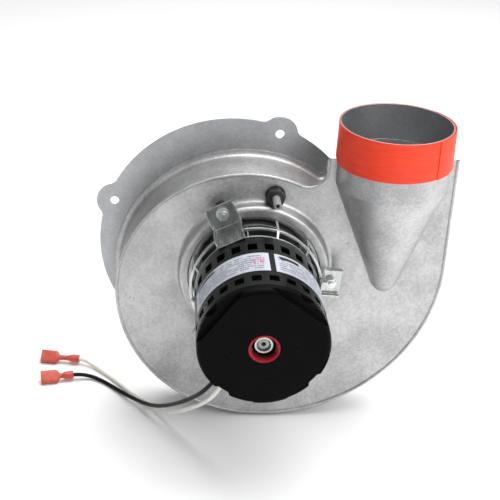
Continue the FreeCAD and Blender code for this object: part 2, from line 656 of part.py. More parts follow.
# ---------------------------------------------------------------- rotating pieces
ring_start, ring_end = "shaft_start", "shaft_end"
turned("motor_shaft", [
    ("0", ring_start), ("shaft_r - 0.5", ring_start), ("shaft_r", "shaft_start + 0.5"),
    ("shaft_r", "shaft_end - 0.5"), ("shaft_r - 0.5", ring_end), ("0", ring_end)])
ring("rotor_core", "shaft_r", "rotor_r", "stator_start - 1", "stator_end + 1")
ring("thrust_washer_front", "shaft_r", "bearing_r - 0.4", "motor_base + 8.4", "motor_base + 9.6")
ring("shaft_collar", "shaft_r", "bearing_r - 0.4", "motor_end - 15.8", "motor_end - 14.2")


def cooling_wheel():
    """Pressed wheel: disc, conical rim, twelve fins and a hoop that ties the fins together."""
    back, t, r = dim("wheel_back"), dim("wheel_sheet"), dim("wheel_r")
    floor = back + t
    plate = disc(r, back, floor).cut(disc(dim("hub_r") - 2, 0, 100))
    rim = lathe([(r - 1.2, floor - 0.3), (r, floor - 0.3), (r, floor + 0.6), (r - 0.8, 51.0), (r - 1.7, 51.0)])
    fin = Part.Face(Part.makePolygon([Vec(x, 0, z) for x, z in (
        (22, floor - 0.3), (r - 1, floor - 0.3), (r - 1.3, 50.8), (r - 2.5, 58), (r - 4, 66.6), (r - 7, 66.6),
        (32, 60), (22, 55), (22, floor - 0.3))])).extrude(Vec(0, 0.9, 0))
    fin.translate(Vec(0, -0.45, 0))
    hoop_r, hoop = r - 3.8, 65.6
    hoop = lathe([(hoop_r - 1.4, hoop), (hoop_r, hoop), (hoop_r, hoop + 1), (hoop_r - 1.4, hoop + 1)])
    fins = around(fin, dim("fin_count"), dim("fin_first_angle"))
    return one_solid(plate.fuse([rim, hoop] + fins))


keep_shape("cooling_wheel", cooling_wheel())
turned("cooling_wheel_hub", [
    ("shaft_r", "wheel_back - 1"), ("hub_r + 2", "wheel_back - 1"), ("hub_r + 2", "wheel_back"),
    ("hub_r - 2", "wheel_back"), ("hub_r - 2", "wheel_back + 11"), ("shaft_r", "wheel_back + 11")])

keep_shape("impeller_backplate", disc(dim("impeller_r"), dim("impeller_back"), dim("impeller_back") + 1).cut(
    disc(dim("hub_r") - 3, 0, 100)))
ring("impeller_end_ring", "impeller_eye_r", "impeller_r", "impeller_front - 1", "impeller_front")
turned("impeller_hub", [
    ("shaft_r", "shaft_start + 2"), ("hub_r", "shaft_start + 2"), ("hub_r", "impeller_back"),
    ("hub_r - 3", "impeller_back"), ("hub_r - 3", "impeller_back + 2.5"),
    ("shaft_r", "impeller_back + 2.5")])


def blade():
    """Forward-curved strip between the two discs of the impeller."""
    inner, outer, t = dim("impeller_eye_r") + 0.4, dim("impeller_r") - 0.4, dim("blade_t")
    mid = (inner + outer) / 2
    sides = []
    for offset in (0, math.degrees(t / mid)):
        points = [polar(inner, offset), polar(mid, 3.4 + offset), polar(outer, 11 + offset)]
        sides.append(Part.Arc(*points).toShape())
    closers = [Part.makeLine(sides[0].valueAt(sides[0].FirstParameter), sides[1].valueAt(sides[1].FirstParameter)),
               Part.makeLine(sides[0].valueAt(sides[0].LastParameter), sides[1].valueAt(sides[1].LastParameter))]
    face = Part.Face(Part.Wire(Part.__sortEdges__(sides + closers)))
    face.translate(Vec(0, 0, dim("impeller_front")))
    return face.extrude(Vec(0, 0, dim("impeller_back") - dim("impeller_front")))


keep_shape("impeller_blades", Part.makeCompound(around(blade(), dim("blade_count"))))

# ---------------------------------------------------------------- leads and terminals
# Corner points in mm from the shaft axis: x right, y the row's y, z up.
LEAD_POINTS = {
    "lead_black": [(-19.08, -110.0, -30.53), (-31.8, -110.0, -50.9), (-44.2, -89.6, -75.0),
                   (-60.7, -63.8, -99.1), (-73.4, -42.3, -113.8), (-88.5, -18.9, -122.6),
                   (-101.0, -4.2, -124.4), (-110.0, 4.6, -124.4), (-118.8, 9.6, -123.4),
                   (-128.3, 9.45, -121.3), (-136.2, 8.18, -121.3)],
    "lead_white": [(-16.34, -113.5, -32.08), (-27.2, -113.5, -53.5), (-36.6, -95.6, -74.7),
                   (-48.2, -74.9, -95.0), (-58.9, -54.0, -111.5), (-69.0, -34.4, -121.8),
                   (-84.1, -17.0, -124.4), (-98.0, 2.2, -124.4), (-107.2, 13.2, -124.4),
                   (-114.0, 20.6, -124.1), (-119.8, 25.9, -123.0), (-125.88, 30.14, -121.3),
                   (-133.2, 31.24, -121.3)],
}
# Direction of each terminal and the length of its neck.
LEAD_ENDS = {"lead_black": (189.13, 3.0), "lead_white": (171.45, 8.5)}
TERMINAL_ROLL = -40
ARC_SHARE = 0.45


def lead(label):
    """Round lead along straight runs joined by tangent arcs; prints its length and radii."""
    origin = Vec(dim("fan_x"), 0, dim("fan_z"))
    points = [Vec(*p) + origin for p in LEAD_POINTS[label]]
    edges, radii, start = [], [], points[0]
    for before, corner, after in zip(points[:-2], points[1:-1], points[2:]):
        back, ahead = before - corner, after - corner
        half_turn = (math.pi - back.getAngle(ahead)) / 2
        trim = ARC_SHARE * min(back.Length, ahead.Length)
        radius = trim / math.tan(half_turn)
        radii.append(radius)
        back.normalize()
        ahead.normalize()
        a, b = corner + back * trim, corner + ahead * trim
        middle = (back + ahead).normalize()
        centre_gap = radius / math.cos(half_turn)
        m = corner + middle * (centre_gap - radius)
        edges += [Part.makeLine(start, a), Part.Arc(a, m, b).toShape()]
        start = b
    edges.append(Part.makeLine(start, points[-1]))
    path = Part.Wire(edges)
    along = (points[1] - points[0]).normalize()
    section = Part.Wire(Part.makeCircle(dim("lead_r"), points[0], along))
    tube = path.makePipeShell([section], True, True)
    expected = math.pi * dim("lead_r") ** 2 * path.Length
    print(label, "length %.1f mm, smallest radius %.1f mm, radii %s, volume ratio %.4f" % (
        path.Length, min(radii), [round(r, 1) for r in radii], tube.Volume / expected))
    keep_shape(label, tube, FreeCAD.Placement())
    return points


def terminal(colour, end, angle, neck):
    """Insulated flat receptacle: sleeve, metal socket inside; local x points away from the lead."""
    w, h = dim("terminal_width"), dim("terminal_height")
    barrel, sleeve = dim("terminal_barrel"), dim("terminal_sleeve")
    overlap = 3.5
    rim = Part.makeCylinder(dim("terminal_barrel_r"), barrel, Vec(-overlap, 0, 0), X_AXIS)
    start = barrel - overlap

    def block(x, wide, high, radius):
        """Rounded rectangle wire across the local x axis."""
        y, z = wide / 2, high / 2
        box = Part.Face(Part.makePolygon([Vec(x, -y, -z), Vec(x, y, -z), Vec(x, y, z), Vec(x, -y, z),
                                          Vec(x, -y, -z)])).extrude(X_AXIS)
        box = box.makeFillet(radius, [e for e in box.Edges if abs(e.tangentAt(0).x) > 0.99])
        return [f for f in box.Faces if abs(f.CenterOfMass.x - x) < 1e-6][0].OuterWire

    round_end = dim("terminal_barrel_r") * 2 - 0.2
    taper = Part.makeLoft([block(start, round_end, h - 0.2, 2.0), block(start + neck, w, h, 1.6)], True)
    flat = Part.Face(block(start + neck, w, h, 1.6)).extrude(Vec(sleeve, 0, 0))
    cover = rim.fuse([taper, flat])
    mouth = Part.makeBox(sleeve - 1.5 + 1, w - 2.0, h - 2.0, Vec(start + neck + 1.5, -w / 2 + 1, -h / 2 + 1))
    entry = Part.makeCylinder(dim("lead_bore_r"), overlap + 0.2, Vec(-overlap - 0.2, 0, 0), X_AXIS)
    cover = one_solid(cover.cut(mouth).cut(entry))
    long, wide, high, t = sleeve - 3.0, w - 2.0, h - 2.0, 0.6
    socket = Part.makeBox(long, wide, high, Vec(start + neck + 1.5, -wide / 2, -high / 2))
    room = Part.makeBox(long + 2, wide - 2 * t, high - 2 * t - 0.4,
                        Vec(start + neck + 0.5 + t, -wide / 2 + t, -high / 2 + t + 0.4))
    split = Part.makeBox(long + 2, 0.8, 1.2 + t, Vec(start + neck + 1, -0.4, high / 2 - t - 0.1))
    turn = FreeCAD.Rotation(Z_AXIS, angle) * FreeCAD.Rotation(X_AXIS, TERMINAL_ROLL)
    place = FreeCAD.Placement(end, turn)
    keep_shape("terminal_sleeve_" + colour, cover, place)
    keep_shape("terminal_socket_" + colour, one_solid(socket.cut(room).cut(split)), place)


lead_routes = {}
for lead_name, (end_angle, neck_length) in LEAD_ENDS.items():
    lead_routes[lead_name] = lead(lead_name)
    terminal(lead_name.split("_")[1], lead_routes[lead_name][-1], end_angle, neck_length)


def lead_grommet():
    """Flanged rubber bushing in the motor shell with one bore for each lead."""
    r, t, depth = dim("shell_r"), dim("shell_t"), dim("grommet_depth")
    neck = Part.makeCylinder(dim("lead_grommet_r"), 6.4, Vec(r - 3.6, 0, depth), X_AXIS)
    flange = Part.makeCylinder(dim("lead_flange_r"), 2.4, Vec(r - 0.6, 0, depth), X_AXIS)
    flange = flange.cut(disc(r, 0, 200))
    body = spin(neck.fuse(flange), dim("grommet_angle"))
    to_local = FAN.inverse()
    for points in lead_routes.values():
        a, b = to_local.multVec(points[0]), to_local.multVec(points[1])
        body = body.cut(Part.makeCylinder(dim("lead_bore_r"), 60, a, b - a))
    return one_solid(body)


keep_shape("lead_grommet", lead_grommet())

# ---------------------------------------------------------------- check and write
doc.recompute()
os.makedirs("parts", exist_ok=True)
for obj in doc.Objects:
    if "Invalid" in obj.State or "Error" in obj.State:
        raise RuntimeError("%s is %s" % (obj.Label, obj.State))
for obj in pieces:
    if obj.Shape.isNull() or not obj.Shape.isValid():
        raise RuntimeError(obj.Label + " has a bad shape")
    if not obj.Shape.Solids:
        raise RuntimeError(obj.Label + " has no solid")
for obj in pieces:
    obj.Shape.exportStep(os.path.join("parts", obj.Label + ".step"))
    box = obj.Shape.BoundBox
    print("%-22s solids %2d  x %7.1f %7.1f  y %7.1f %7.1f  z %7.1f %7.1f" % (
        obj.Label, len(obj.Shape.Solids), box.XMin, box.XMax, box.YMin, box.YMax, box.ZMin, box.ZMax))
print(len(pieces), "pieces")
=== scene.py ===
# Combustion fan: materials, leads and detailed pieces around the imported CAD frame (metres).
import json
import math

import bpy
from mathutils import Matrix, Vector


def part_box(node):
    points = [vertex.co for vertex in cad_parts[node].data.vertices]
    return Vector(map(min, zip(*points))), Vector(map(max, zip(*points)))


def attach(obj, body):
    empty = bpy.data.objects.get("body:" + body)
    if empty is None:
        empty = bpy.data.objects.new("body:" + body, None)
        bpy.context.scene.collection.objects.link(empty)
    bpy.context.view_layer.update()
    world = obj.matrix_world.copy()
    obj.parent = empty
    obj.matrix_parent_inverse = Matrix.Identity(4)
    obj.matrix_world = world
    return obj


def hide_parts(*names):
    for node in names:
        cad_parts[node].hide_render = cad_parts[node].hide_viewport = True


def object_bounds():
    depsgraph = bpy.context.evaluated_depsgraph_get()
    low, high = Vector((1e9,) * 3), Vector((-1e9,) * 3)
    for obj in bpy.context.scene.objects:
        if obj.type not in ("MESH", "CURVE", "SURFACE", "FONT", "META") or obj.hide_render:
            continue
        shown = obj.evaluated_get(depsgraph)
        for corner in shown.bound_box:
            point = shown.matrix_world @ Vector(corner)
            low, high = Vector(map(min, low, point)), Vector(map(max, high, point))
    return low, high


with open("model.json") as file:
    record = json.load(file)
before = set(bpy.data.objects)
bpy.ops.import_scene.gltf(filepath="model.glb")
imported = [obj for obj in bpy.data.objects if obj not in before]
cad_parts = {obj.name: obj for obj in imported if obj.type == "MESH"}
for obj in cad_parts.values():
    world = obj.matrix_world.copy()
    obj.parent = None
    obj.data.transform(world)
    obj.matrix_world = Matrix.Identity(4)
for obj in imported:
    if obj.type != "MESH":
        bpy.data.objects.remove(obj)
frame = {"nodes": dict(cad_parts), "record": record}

cad_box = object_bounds()
nodes = frame["nodes"]
MM = 0.001

# Shaft axis and outlet axis in the row frame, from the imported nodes.
shaft_low, shaft_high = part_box("motor_shaft")
AXIS_X = (shaft_low[0] + shaft_high[0]) / 2
AXIS_Z = (shaft_low[2] + shaft_high[2]) / 2
collar_low, collar_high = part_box("outlet_collar")
OUTLET_X = (collar_low[0] + collar_high[0]) / 2
OUTLET_Y = (collar_low[1] + collar_high[1]) / 2
FLOOR_Z = cad_box[0][2]


# ---------------------------------------------------------------- camera
CAMERA_TURN = (-4.85, 27.75, 2.62)  # azimuth, elevation, roll in degrees
CAMERA_PLACE = (-0.0448, -0.6979, 0.3603)
CAMERA_LENS = 77.73  # mm on a 36 mm sensor


def make_camera():
    az, el, roll = (math.radians(a) for a in CAMERA_TURN)
    back = Vector((math.sin(az) * math.cos(el), -math.cos(az) * math.cos(el), math.sin(el)))
    right = Vector((math.cos(az), math.sin(az), 0))
    up = back.cross(right)
    rolled_right = right * math.cos(roll) + up * math.sin(roll)
    rolled_up = up * math.cos(roll) - right * math.sin(roll)
    data = bpy.data.cameras.new("camera")
    data.sensor_width = 36.0
    data.lens = CAMERA_LENS
    data.clip_start, data.clip_end = 0.01, 20.0
    camera = bpy.data.objects.new("camera", data)
    turn = Matrix((rolled_right, rolled_up, back)).transposed().to_4x4()
    camera.matrix_world = Matrix.Translation(CAMERA_PLACE) @ turn
    bpy.context.collection.objects.link(camera)
    bpy.context.scene.camera = camera


make_camera()


# ---------------------------------------------------------------- node material helpers
class Material:
    """One node material; every texture reads the row frame through object coordinates."""

    def __init__(self, name, **shader):
        self.mat = bpy.data.materials.new(name)
        self.mat.use_nodes = True
        self.tree = self.mat.node_tree
        self.shader = self.tree.nodes["Principled BSDF"]
        for key, value in shader.items():
            self.set(key.replace("_", " "), value)
        self.place = self.add("ShaderNodeTexCoord").outputs["Object"]

    def set(self, key, value):
        if isinstance(value, bpy.types.NodeSocket):
            self.tree.links.new(value, self.shader.inputs[key])
        else:
            self.shader.inputs[key].default_value = value

    def add(self, kind, inputs=None, **props):
        made = self.tree.nodes.new(kind)
        for key, value in props.items():
            setattr(made, key, value)
        for key, value in (inputs or {}).items():
            if isinstance(value, bpy.types.NodeSocket):
                self.tree.links.new(value, made.inputs[key])
            else:
                made.inputs[key].default_value = value
        return made

    def noise(self, scale, detail=3.0, rough=0.6, at=None):
        return self.add("ShaderNodeTexNoise", {"Vector": at or self.place, "Scale": scale, "Detail": detail,
                                               "Roughness": rough}).outputs["Fac"]

    def span(self, value, low, high, to_low, to_high):
        return self.add("ShaderNodeMapRange", {"Value": value, "From Min": low, "From Max": high,
                                               "To Min": to_low, "To Max": to_high}).outputs["Result"]

    def mix(self, factor, a, b):
        made = self.add("ShaderNodeMix", {0: factor}, data_type="RGBA")
        for index, value in ((6, a), (7, b)):
            if isinstance(value, bpy.types.NodeSocket):
                self.tree.links.new(value, made.inputs[index])
            else:
                made.inputs[index].default_value = value
        return made.outputs[2]

    def math(self, operation, a, b=0.0):
        return self.add("ShaderNodeMath", {0: a, 1: b}, operation=operation).outputs[0]

    def stretch(self, scale):
        return self.add("ShaderNodeMapping", {"Vector": self.place, "Scale": scale}).outputs["Vector"]

    def bump(self, height, strength, distance, edge=0.0):
        inputs = {"Height": height, "Strength": strength, "Distance": distance}
        if edge:
            inputs["Normal"] = self.add("ShaderNodeBevel", {"Radius": edge}, samples=4).outputs["Normal"]
        self.set("Normal", self.add("ShaderNodeBump", inputs).outputs["Normal"])

    def edges(self, radius, sharp=0.72, soft=0.97):
        """1 on outer and inner edges, 0 on open faces; the mask for painted edge highlights."""
        rounded = self.add("ShaderNodeBevel", {"Radius": radius}, samples=4).outputs["Normal"]
        true = self.add("ShaderNodeNewGeometry").outputs["Normal"]
        same = self.add("ShaderNodeVectorMath", {0: rounded, 1: true}, operation="DOT_PRODUCT")
        return self.span(same.outputs["Value"], sharp, soft, 1.0, 0.0)

    def depth(self):
        """Millimetres in front of the mounting plate's back face."""
        split = self.add("ShaderNodeSeparateXYZ", {"Vector": self.place})
        return self.math("MULTIPLY", split.outputs["Y"], -1000.0)

    def around_shaft(self):
        """Angle in degrees and radius in millimetres about the shaft."""
        split = self.add("ShaderNodeSeparateXYZ", {"Vector": self.place})
        x = self.math("SUBTRACT", split.outputs["X"], AXIS_X)
        z = self.math("SUBTRACT", split.outputs["Z"], AXIS_Z)
        angle = self.math("MULTIPLY", self.math("ARCTAN2", z, x), 180 / math.pi)
        squares = self.math("ADD", self.math("MULTIPLY", x, x), self.math("MULTIPLY", z, z))
        return angle, self.math("MULTIPLY", self.math("SQRT", squares), 1000.0)


def grey(value, tint=(0, 0, 0)):
    return (value + tint[0], value + tint[1], value + tint[2], 1.0)


def sheet_metal(name, light, dark, rough, tint=(0, 0, 0), speckle=0.5, edge=0.0004):
    """Coated sheet: soft clouds, a fine grain, sparse specks, and slightly rolled edges."""
    m = Material(name, Metallic=0.85, Specular_IOR_Level=0.4)
    clouds = m.noise(42.0, 4.0, 0.65)
    grain = m.noise(520.0, 3.0, 0.7)
    specks = m.noise(1500.0, 2.0, 0.5)
    blend = m.math("ADD", m.math("MULTIPLY", clouds, 0.5), m.math("MULTIPLY", grain, 0.5))
    base = m.mix(m.span(blend, 0.4, 0.6, 0.0, 1.0), grey(dark, tint), grey(light, tint))
    spots = m.math("MULTIPLY", m.span(specks, 0.66, 0.74, 0.0, 1.0), speckle)
    m.set("Base Color", m.mix(spots, base, (dark * 0.62, dark * 0.55, dark * 0.5, 1.0)))
    m.set("Roughness", m.span(grain, 0.3, 0.7, rough - 0.05, rough + 0.07))
    m.bump(m.math("ADD", m.math("MULTIPLY", grain, 0.3), clouds), 0.25, 0.0005, edge)
    return m.mat


def smooth_metal(name, light, dark, rough, scale=160.0, stretch=(1, 1, 1), edge=0.0003):
    """Plated metal: fine streaks, and a painted highlight along the edges."""
    m = Material(name, Metallic=1.0)
    streaks = m.noise(scale, 4.0, 0.65, m.stretch(stretch))
    base = m.mix(m.span(streaks, 0.3, 0.7, 0.0, 1.0), dark, light)
    # Painted highlight: the edges are mixed towards pale grey.
    m.set("Base Color", m.mix(m.math("MULTIPLY", m.edges(edge * 1.6), 0.8), base, (0.9, 0.91, 0.9, 1)))
    m.set("Roughness", m.span(streaks, 0.3, 0.7, rough + 0.08, rough - 0.04))
    m.bump(streaks, 0.15, 0.0002, edge)
    return m.mat


def coating(name, colour, worn, rough, peel=900.0, strength=0.12, edge=0.0003, edge_highlight_colour=None, **shader):
    """Paint, rubber or moulded plastic: faint colour change, a fine surface, and a painted edge highlight
    when its colour is given.
    """
    m = Material(name, **shader)
    cloud = m.noise(70.0, 3.0, 0.6)
    fine = m.noise(peel, 2.0, 0.5)
    base = m.mix(m.span(cloud, 0.35, 0.7, 0.0, 1.0), colour, worn)
    # Painted highlight: patchy edges mixed towards the given colour.
    if edge_highlight_colour:
        base = m.mix(m.math("MULTIPLY", m.edges(edge * 1.5), cloud), base, edge_highlight_colour)
    m.set("Base Color", base)
    m.set("Roughness", m.span(cloud, 0.3, 0.7, rough - 0.04, rough + 0.06))
    m.bump(fine, strength, 0.0002, edge)
    return m.mat


def label_material():
    """White foil plate with generic bars, broken lines and one red block; no lettering."""
    m = Material("label", Metallic=0.25)
    angle, _ = m.around_shaft()
    depth = m.depth()
    plate_low, plate_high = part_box("nameplate_main")
    low, high = -plate_high[1] / MM, -plate_low[1] / MM
    row = m.span(depth, low, high, 0.0, 9.0)
    line = m.math("FLOOR", row)
    within = m.math("FRACT", row)
    row_mask = m.math("MULTIPLY", m.math("GREATER_THAN", within, 0.28), m.math("LESS_THAN", within, 0.78))
    where = m.add("ShaderNodeCombineXYZ", {"X": m.math("MULTIPLY", angle, 1.15),
                                           "Y": m.math("MULTIPLY", line, 7.3)}).outputs["Vector"]
    marks = m.add("ShaderNodeTexNoise", {"Vector": where, "Scale": 1.0, "Detail": 2.0}).outputs["Fac"]
    ink = m.math("MULTIPLY", m.math("GREATER_THAN", marks, 0.45), row_mask)
    words = m.add("ShaderNodeTexNoise", {"Vector": where, "Scale": 0.16, "Detail": 0.0}).outputs["Fac"]
    ink = m.math("MULTIPLY", ink, m.math("GREATER_THAN", words, 0.4))

    def window(value, start, end):
        return m.math("MULTIPLY", m.math("GREATER_THAN", value, start), m.math("LESS_THAN", value, end))

    inside = m.math("MAXIMUM", window(angle, 90.0, 162.0), window(angle, 6.0, 76.0))
    ink = m.math("MULTIPLY", m.math("MULTIPLY", ink, inside), window(row, 1.0, 8.4))
    block = m.math("MAXIMUM", m.math("MULTIPLY", window(angle, 136.0, 161.0), window(row, 0.5, 1.7)),
                   m.math("MULTIPLY", window(angle, 56.0, 75.0), window(row, 0.9, 2.3)))
    red = m.math("MULTIPLY", m.math("MULTIPLY", window(angle, 88.5, 99.0), window(row, 2.2, 5.8)),
                 m.math("GREATER_THAN", marks, 0.47))
    paper = m.mix(m.noise(300.0), (0.42, 0.45, 0.51, 1), (0.5, 0.53, 0.59, 1))
    inked = m.mix(m.math("MULTIPLY", ink, 0.9), paper, (0.07, 0.08, 0.11, 1))
    blocked = m.mix(block, inked, (0.02, 0.02, 0.025, 1))
    m.set("Base Color", m.mix(m.math("MULTIPLY", red, 0.75), blocked, (0.45, 0.05, 0.12, 1)))
    m.set("Roughness", m.span(m.noise(80.0), 0.3, 0.7, 0.32, 0.44))
    m.bump(m.noise(60.0, 2.0), 0.2, 0.0003)
    return m.mat


def striped(name, dark, light, pitch_mm, rough, metallic, strength):
    """Fine stripes along the shaft: sheet stacks and wound wire."""
    m = Material(name, Metallic=metallic)
    depth = m.depth()
    wave = m.math("SINE", m.math("MULTIPLY", depth, 2 * math.pi / pitch_mm))
    m.set("Base Color", m.mix(m.span(wave, -1.0, 1.0, 0.0, 1.0), dark, light))
    m.set("Roughness", m.span(m.noise(300.0), 0.3, 0.7, rough, rough + 0.15))
    m.bump(wave, strength, 0.0002)
    return m.mat


def turned_metal(name, light, dark, rough, ring_mm=1.1, shaded_centre_mm=0.0):
    """Pressed or turned round metal: faint rings about the shaft, and near-black painted shade where a
    drilled centre hole would be shaded.
    """
    m = Material(name, Metallic=1.0)
    _, radius = m.around_shaft()
    rings = m.add("ShaderNodeTexNoise", {"W": m.math("MULTIPLY", radius, 1.0 / ring_mm), "Detail": 3.0},
                  noise_dimensions="1D").outputs["Fac"]
    cloud = m.noise(90.0)
    blend = m.math("ADD", m.math("MULTIPLY", rings, 0.5), m.math("MULTIPLY", cloud, 0.5))
    base = m.mix(m.span(blend, 0.35, 0.65, 0.0, 1.0), dark, light)
    if shaded_centre_mm:
        # Painted shade: near black inside the given radius, for the shade of a drilled centre hole.
        base = m.mix(m.span(radius, shaded_centre_mm * 0.6, shaded_centre_mm, 0.0, 1.0), grey(0.012), base)
    m.set("Base Color", base)
    m.set("Roughness", m.span(rings, 0.3, 0.7, rough - 0.04, rough + 0.1))
    m.bump(rings, 0.2, 0.0002, 0.0004)
    return m.mat


def band_material():
    """Orange-red wrap: smooth tape with faint lengthwise streaks and scuffs."""
    m = Material("band_orange", Specular_IOR_Level=0.25)
    streak = m.noise(60.0, 4.0, 0.6, m.stretch((1.0, 1.0, 9.0)))
    fine = m.noise(1400.0, 2.0)
    base = m.mix(m.span(streak, 0.3, 0.7, 0.0, 1.0), (0.78, 0.04, 0.014, 1), (0.86, 0.07, 0.026, 1))
    m.set("Base Color", m.mix(m.span(m.noise(35.0), 0.55, 0.8, 0.0, 0.35), base, (0.6, 0.05, 0.03, 1)))
    m.set("Roughness", m.span(streak, 0.3, 0.7, 0.42, 0.55))
    m.bump(m.math("ADD", m.math("MULTIPLY", fine, 0.3), streak), 0.12, 0.0003)
    return m.mat


def seal_material():
    """Red rubber funnel, darkened to near black towards the bearing by painted shade."""
    m = Material("red_seal", Specular_IOR_Level=0.25)
    _, radius = m.around_shaft()
    darkest_shade_r, shade_free_r = 7.2, 8.7  # mm
    cloud = m.span(m.noise(200.0), 0.3, 0.7, 0.0, 1.0)
    base = m.mix(cloud, (0.22, 0.003, 0.008, 1), (0.34, 0.006, 0.016, 1))
    # Painted shade: the colour runs to near black inside the funnel, towards the bearing.
    m.set("Base Color", m.mix(m.span(radius, darkest_shade_r, shade_free_r, 0.0, 1.0), (0.006, 0.001, 0.001, 1), base))
    m.set("Roughness", m.span(radius, darkest_shade_r, shade_free_r, 0.3, 0.45))
    m.bump(m.noise(900.0, 2.0), 0.1, 0.0002, 0.0003)
    return m.mat


def nylon(name, colour, deep):
    """Translucent moulded insulation."""
    m = Material(name, Subsurface_Weight=0.35, Subsurface_Radius=(0.002, 0.0008, 0.0006),
                 Subsurface_Scale=1.0)
    cloud = m.noise(250.0)
    m.set("Base Color", m.mix(m.span(cloud, 0.3, 0.7, 0.0, 1.0), deep, colour))
    m.set("Roughness", m.span(cloud, 0.3, 0.7, 0.3, 0.42))
    m.bump(m.noise(1100.0, 2.0), 0.1, 0.0002)
    return m.mat


MATERIALS = {
    "galvanised": sheet_metal("galvanised", 0.55, 0.37, 0.42, (0, 0, 0.004)),
    "galvanised_smooth": sheet_metal("galvanised_smooth", 0.46, 0.36, 0.38, (-0.012, 0.0, 0.012), 0.2),
    "band_orange": band_material(),
    "black_plastic": coating("black_plastic", grey(0.012), grey(0.03), 0.45),
    "grey_plastic": coating("grey_plastic", grey(0.2), grey(0.27), 0.45),
    "zinc": smooth_metal("zinc", (0.6, 0.62, 0.61, 1), (0.3, 0.32, 0.31, 1), 0.22, 60.0, (3, 1, 0.5),
                         0.0006),
    "zinc_bright": smooth_metal("zinc_bright", (0.72, 0.73, 0.74, 1), (0.5, 0.52, 0.52, 1), 0.3, 90.0),
    "black_rubber": coating("black_rubber", grey(0.01), grey(0.022), 0.6),
    # The grey after the edge radius in black_enamel and black_satin is a painted edge highlight colour.
    "black_enamel": coating("black_enamel", (0.0025, 0.0035, 0.0035, 1), (0.005, 0.0065, 0.006, 1), 0.22,
                            500.0, 0.1, 0.0004, grey(0.06), Specular_IOR_Level=0.22),
    "black_satin": coating("black_satin", grey(0.0008), grey(0.0018), 0.4, 700.0, 0.16, 0.0005,
                           grey(0.02), Specular_IOR_Level=0.045),
    "bearing_steel": turned_metal("bearing_steel", grey(0.6), grey(0.45), 0.3, 0.6),
    "bearing_bronze": turned_metal("bearing_bronze", (0.6, 0.4, 0.2, 1), (0.4, 0.26, 0.12, 1), 0.4),
    "red_seal": seal_material(),
    "label": label_material(),
    "laminations": striped("laminations", grey(0.12), grey(0.3), 0.5, 0.45, 0.9, 0.6),
    "winding": striped("winding", (0.05, 0.03, 0.025, 1), (0.2, 0.13, 0.1, 1), 0.45, 0.35, 0.5, 0.8),
    "shaft_steel": turned_metal("shaft_steel", grey(0.34), grey(0.16), 0.35, shaded_centre_mm=1.9),
    "wheel_aluminium": turned_metal("wheel_aluminium", grey(0.42), grey(0.3), 0.34, 2.2),
    "impeller_sheet": sheet_metal("impeller_sheet", 0.5, 0.4, 0.45),
    "lead_black": coating("lead_black", grey(0.003), grey(0.006), 0.4, 1600.0, 0.05,
                          Specular_IOR_Level=0.15),
    "lead_white": coating("lead_white", (0.72, 0.7, 0.63, 1), (0.8, 0.78, 0.73, 1), 0.4, 1600.0, 0.05),
    "terminal_salmon": nylon("terminal_salmon", (0.6, 0.12, 0.07, 1), (0.5, 0.06, 0.045, 1)),
    "tinned_brass": smooth_metal("tinned_brass", (0.75, 0.72, 0.62, 1), (0.55, 0.5, 0.4, 1), 0.3),
}


def paint(obj, slot):
    obj.data.materials.clear()
    obj.data.materials.append(MATERIALS[slot])


for subpart in frame["record"]["subparts"]:
    piece = nodes[subpart["node"]]
    for material_slot in piece.material_slots:
        material_slot.material = MATERIALS[subpart["material_slot"]]


def bevel(obj, width):
    modifier = obj.modifiers.new("soft_edges", "BEVEL")
    modifier.width = width
    modifier.segments = 2
    modifier.limit_method = "ANGLE"
    modifier.angle_limit = math.radians(35)


bevel(nodes["bracket_nuts"], 0.00025)
for name in ("motor_bracket_top", "motor_bracket_left", "motor_bracket_right"):
    bevel(nodes[name], 0.0004)


# ---------------------------------------------------------------- leads
# The routes of the CAD tubes, in mm from the shaft axis: x right, the row's y, z up.
LEAD_POINTS = {
    "black": [(-19.08, -110.0, -30.53), (-31.8, -110.0, -50.9), (-44.2, -89.6, -75.0),
              (-60.7, -63.8, -99.1), (-73.4, -42.3, -113.8), (-88.5, -18.9, -122.6),
              (-101.0, -4.2, -124.4), (-110.0, 4.6, -124.4), (-118.8, 9.6, -123.4),
              (-128.3, 9.45, -121.3), (-136.2, 8.18, -121.3)],
    "white": [(-16.34, -113.5, -32.08), (-27.2, -113.5, -53.5), (-36.6, -95.6, -74.7),
              (-48.2, -74.9, -95.0), (-58.9, -54.0, -111.5), (-69.0, -34.4, -121.8),
              (-84.1, -17.0, -124.4), (-98.0, 2.2, -124.4), (-107.2, 13.2, -124.4),
              (-114.0, 20.6, -124.1), (-119.8, 25.9, -123.0), (-125.88, 30.14, -121.3),
              (-133.2, 31.24, -121.3)],
}
TERMINAL_ANGLES = {"black": 189.13, "white": 171.45}  # degrees in plan, from +X
TERMINAL_NECKS = {"black": 3.0, "white": 8.5}  # mm
TERMINAL_ROLL = -40.0  # degrees about the lead's end
LEAD_RADIUS = 0.0015  # over the insulation


def lead_points(colour):
    return [Vector((x * MM + AXIS_X, y * MM, z * MM + AXIS_Z)) for x, y, z in LEAD_POINTS[colour]]


def make_lead(colour):
    points = lead_points(colour)
    data = bpy.data.curves.new("motor_lead_" + colour, "CURVE")
    data.dimensions = "3D"
    data.bevel_depth = LEAD_RADIUS
    data.bevel_resolution = 5
    data.resolution_u = 12
    data.use_fill_caps = True
    spline = data.splines.new("NURBS")
    spline.points.add(len(points) - 1)
    for point, place in zip(spline.points, points):
        point.co = (*place, 1.0)
    spline.order_u = 3
    spline.use_endpoint_u = True
    lead = bpy.data.objects.new("motor_lead_" + colour, data)
    bpy.context.collection.objects.link(lead)
    paint(lead, "lead_" + colour)
    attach(lead, "housing")
    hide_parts("lead_" + colour)
    return lead


leads = {colour: make_lead(colour) for colour in LEAD_POINTS}


